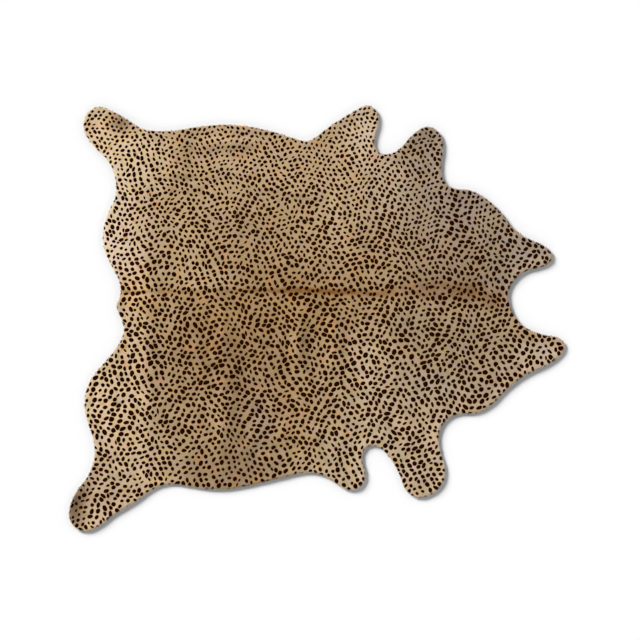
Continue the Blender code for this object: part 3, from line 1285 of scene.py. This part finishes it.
# %% Flecks, streaks and the drift of the colour
FLECK_ORANGE = (181, 126, 78)
FLECKS = (21.0, 3.0)
FLECK_LIMITS = (0.56, 0.72)
# between which two places along the back, in metres, the flecks get weaker, and their share before and after
FLECKS_FADE = (0.10, 0.50)
FLECK_SHARES = (0.50, 0.15)
MOTTLE = (14.0, 3.0)
MOTTLE_SWING = 0.08
# how finely the noise runs each way: much finer across the hair than along it
STREAKS = (55.0, 420.0, 55.0)
STREAK_SWING = 0.24
FINE_HAIRS = (190.0, 2300.0, 0.0)
FINE_HAIR_SWING = 0.60
# the colour's own noise, by its length in metres, detail and roughness, and its swing in red, green and blue
HUE_NOISE = (0.022, 4.0, 0.65)
HUE_SWING = (0.50, 0.05, 1.50)


def hue_drift(finish, place):
    """A factor about 1 for each of red, green and blue."""
    length, detail, roughness = HUE_NOISE
    drift = finish.grain(place, 1 / length, detail, roughness).output("Color")
    centred = tuple(1 - swing / 2 for swing in HUE_SWING)
    return finish.vector("MULTIPLY_ADD", {0: drift, 1: HUE_SWING, 2: centred})


def marked_coat(finish, place):
    """The coat's colour with the line down the spine, warm flecks and the streaks of the hair."""
    x, y = finish.parts(place)
    tone = coat_colour_and_painted_shade(finish, place)
    tone = finish.mix(spine_line(finish, place, x, y), tone, colour(*SPINE_BROWN))
    flecks = finish.ramp(finish.grain(place, *FLECKS), *FLECK_LIMITS)
    share = finish.ramp(x, *FLECKS_FADE, *FLECK_SHARES)
    tone = finish.mix(flecks * share, tone, colour(*FLECK_ORANGE))
    mottle = finish.varied(finish.grain(place, *MOTTLE), MOTTLE_SWING)
    streaks = finish.varied(finish.grain(finish.times(place, STREAKS)), STREAK_SWING)
    fine_hairs = finish.varied(finish.grain(finish.times(place, FINE_HAIRS)), FINE_HAIR_SWING)
    tone = finish.times(tone, hue_drift(finish, place))
    return finish.tint(tone, mottle * streaks * fine_hairs)


print("streaks are", round(1000 / STREAKS[0]), "by", round(1000 / STREAKS[1]), "mm or so")

# %% [markdown]
# ## Hair
# The coat and its locks take the same print and the same colour, with its painted shade, both read from the
# place on the rug. So a lock that crosses the edge of a spot changes colour there, as hair does that is
# printed where it lies. The dye fades out at a spot's rim, where the hair is reddish brown. Each lock is
# also a little lighter or darker, and warmer or cooler, than its neighbours.
# %% Hair finish
GAIN = 1.28
SPOT_BLACK = (16, 1, 0)
SPOT_BROWN = (32, 11, 0)
SPOT_RIM = (108, 56, 0)
# for each lock, a factor: where chance starts it, and what chance adds
LOCK_SHADE = (0.88, 0.30)
LOCK_RED = (0.945, 0.08)
LOCK_BLUE = (1.18, -0.36)
MORE_CHANCE = 7.0
SHEEN_NOISE = (60.0, 2.0)
# the least roughness, and what the noise adds
ROUGHNESS = (0.34, 0.14)
HAIR_BUMPS = (110.0, 900.0, 0.0)
# strength, and height in metres
HAIR_BUMP = (0.25, 0.0004)


def hair_finish(name, locks):
    finish = new_finish(name)
    place = finish.place()
    stain, full, middle = spot_print(finish, place)
    dye = finish.mix(middle, colour(*SPOT_BLACK), colour(*SPOT_BROWN))
    dye = finish.mix(full, colour(*SPOT_RIM), dye)
    tone = finish.mix(stain, marked_coat(finish, place), dye)
    shade = GAIN
    if locks:
        settings = {"attribute_name": "shade", "attribute_type": "GEOMETRY"}
        own_shade = finish.node("ShaderNodeAttribute", settings).output("Fac")
        shade = own_shade * LOCK_SHADE[1] * GAIN + LOCK_SHADE[0] * GAIN
        warmth = (own_shade * MORE_CHANCE).fraction()
        red, blue = (warmth * more + least for least, more in (LOCK_RED, LOCK_BLUE))
        tone = finish.times(tone, finish.node("ShaderNodeCombineXYZ", {}, {0: red, 1: 1.0, 2: blue}))
    else:
        height = finish.grain(finish.times(place, HAIR_BUMPS))
        finish.surface(Normal=finish.bump(height, *HAIR_BUMP))
    rough = finish.grain(place, *SHEEN_NOISE) * ROUGHNESS[1] + ROUGHNESS[0]
    finish.surface(Base_Color=finish.tint(tone, shade), Roughness=rough)
    finish.surface(Specular_IOR_Level=0.0)
    return finish


coat_finish = hair_finish("printed_hair", False)
lock_finish = hair_finish("printed_hair_locks", True)
coat.data.materials.append(coat_finish.owner)
for piece in locks:
    piece.data.materials.append(lock_finish.owner)
print("the hair's finish has", len(coat_finish.tree.nodes), "nodes")

# %% [markdown]
# ## Suede
# The flesh side was split and sanded, so it is pale, dull and slightly furry, with soft blotches and the
# traces of veins. Noise of three sizes is enough for all of it: slow noise for the blotches, a thin line
# wherever another noise is about a half for the veins, and very fine noise for the nap.
# %% Suede finish
SUEDE_PALE = (222, 212, 196)
SUEDE_SHADE = (207, 195, 177)
BLOTCHES = (6.0, 4.0)
BLOTCH_LIMITS = (0.25, 0.75)
VEIN = (182, 166, 145)
VEINS = (3.2, 3.0)
VEIN_REACH = 0.012
VEIN_SHARE = 0.35
NAP = (900.0, 3.0)
NAP_SWING = 0.16
SUEDE_ROUGHNESS = (0.86, 0.12)
SUEDE_GLOSS = 0.15
SUEDE_HUMPS = (70.0, 2.0)
SUEDE_BUMP = (0.4, 0.0006)


def suede_finish():
    finish = new_finish("suede_flesh_side")
    place = finish.place()
    blotch = finish.ramp(finish.grain(place, *BLOTCHES), *BLOTCH_LIMITS)
    tone = finish.mix(blotch, colour(*SUEDE_PALE), colour(*SUEDE_SHADE))
    vein = finish.ramp(abs(finish.grain(place, *VEINS) - 0.5), 0.0, VEIN_REACH, VEIN_SHARE, 0.0)
    tone = finish.mix(vein, tone, colour(*VEIN))
    nap = finish.grain(place, *NAP)
    rough = nap * SUEDE_ROUGHNESS[1] + SUEDE_ROUGHNESS[0]
    finish.surface(Base_Color=finish.tint(tone, finish.varied(nap, NAP_SWING)), Roughness=rough)
    finish.surface(Specular_IOR_Level=SUEDE_GLOSS)
    finish.surface(Normal=finish.bump(nap + finish.grain(place, *SUEDE_HUMPS), *SUEDE_BUMP))
    return finish


suede = suede_finish()
skin.data.materials.append(suede.owner)
print("the suede has", len(suede.tree.nodes), "nodes")

# %% [markdown]
# ## Maps for the exported model
# An exported model carries its colours as pictures, and a map says which part of the picture covers which
# part of a mesh. Seen from above the whole rug is one flat sheet, so its map is the view from above. The
# skin's upright cut edge has no width from above, and takes a strip of its own along the picture's lower
# side.
# %% Flat maps
MAP_MARGIN = 0.01
STRIP = 0.06


def flat_map(piece, strip=0.0):
    """A map from above, with room for a strip under it."""
    mesh = piece.data
    places = in_threes(mesh.vertices, "co")[:, :2]
    low, high = places.min(0), places.max(0)
    share = MAP_MARGIN + (places - low) / (high - low) * (1 - 2 * MAP_MARGIN)
    share[:, 1] = strip + share[:, 1] * (1 - strip)
    corner = np.empty(len(mesh.loops), np.int32)
    mesh.loops.foreach_get("vertex_index", corner)
    values = share[corner]
    layer = mesh.uv_layers.new(name="OFBake")
    layer.data.foreach_set("uv", values.astype(np.float32).ravel())
    return layer


def strip_map(piece):
    """The flat map, with the quads of the rim laid out along the strip."""
    layer = flat_map(piece, STRIP)
    mesh = piece.data
    quads = [face for face in mesh.polygons if face.loop_total == 4]
    count = len(edge)
    rings = len(quads) // count
    for place, face in enumerate(quads):
        ring, at = divmod(place, count)
        left, right = at / count, (at + 1) / count
        low = MAP_MARGIN + ring / rings * (STRIP - 2 * MAP_MARGIN)
        high = MAP_MARGIN + (ring + 1) / rings * (STRIP - 2 * MAP_MARGIN)
        for loop, uv in zip(face.loop_indices, ((left, low), (right, low), (right, high), (left, high))):
            layer.data[loop].uv = (MAP_MARGIN + uv[0] * (1 - 2 * MAP_MARGIN), uv[1])
    return layer


strip_map(skin)
for piece in (coat, *locks):
    flat_map(piece)
print("maps made for", 2 + len(locks), "pieces")

for piece in (skin, coat, *locks):
    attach(piece, "root")
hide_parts("hide")
